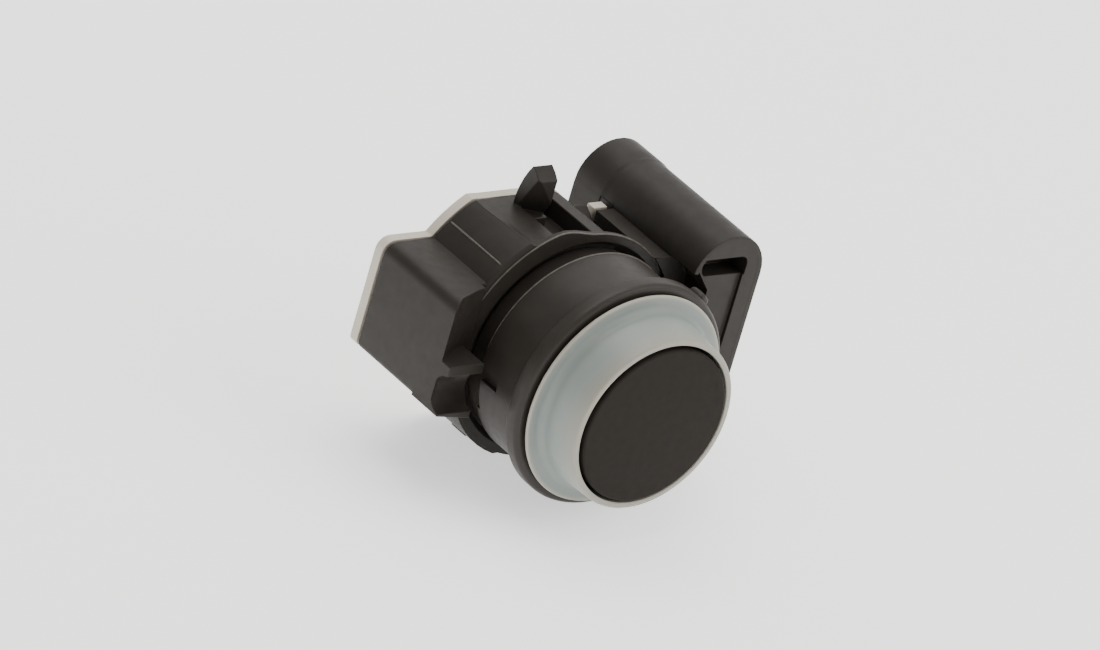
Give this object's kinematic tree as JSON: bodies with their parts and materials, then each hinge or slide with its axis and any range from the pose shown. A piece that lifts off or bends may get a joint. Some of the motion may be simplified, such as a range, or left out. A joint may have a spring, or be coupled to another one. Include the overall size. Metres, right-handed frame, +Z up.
{
  "type": "parking sensor",
  "caption": "Ultrasonic parking sensor: round black face in a pale soft ring, black barrel, boxed rear body with snap fin, pale rear cover and side connector hood.",
  "frame": {"origin": "centre of the black front face", "axes": "+Y runs from the front face along the sensor's axis to the rear cover, +Z up, the connector is on +X"},
  "size_m": [0.0337, 0.0284, 0.0274],
  "materials": {
    "black_plastic": "fine matt grain",
    "gloss_black_plastic": "smooth, half gloss",
    "pale_cover_plastic": "satin, slightly see-through",
    "pale_silicone": "satin, slightly see-through",
    "painted_aluminium": "matt black paint on aluminium",
    "piezo_ceramic": "matt",
    "grey_foam": "matt, open cells",
    "white_plastic": "satin",
    "tinned_brass": "bright tin",
    "copper_wire": "enamelled copper",
    "board_green": "solder resist",
    "dark_ferrite": "matt sintered",
    "chip_black": "matt moulding compound",
    "yellow_tantalum": "satin",
    "crystal_can": "bright metal can",
    "tan_ceramic": "satin"
  },
  "bodies": {
    "root": {"housing": "black_plastic", "front_sleeve": "gloss_black_plastic", "rear_cover": "pale_cover_plastic", "decoupling_ring": "pale_silicone", "transducer_cup": "painted_aluminium", "piezo_disc": "piezo_ceramic", "damping_foam": "grey_foam", "rear_damper": "grey_foam", "contact_carrier": "white_plastic", "contact_pin_1": "tinned_brass", "contact_pin_2": "tinned_brass", "lead_wire_1": "copper_wire", "lead_wire_2": "copper_wire", "circuit_board": "board_green", "transformer_core": "dark_ferrite", "transformer_winding": "copper_wire", "control_chip": "chip_black", "crystal": "crystal_can", "storage_capacitor": "yellow_tantalum", "capacitor_1": "tan_ceramic", "capacitor_2": "tan_ceramic", "capacitor_3": "tan_ceramic", "resistor_1": "chip_black", "resistor_2": "chip_black", "resistor_3": "chip_black", "terminal_1": "tinned_brass", "terminal_2": "tinned_brass", "terminal_3": "tinned_brass"}
  },
  "joints": []
}
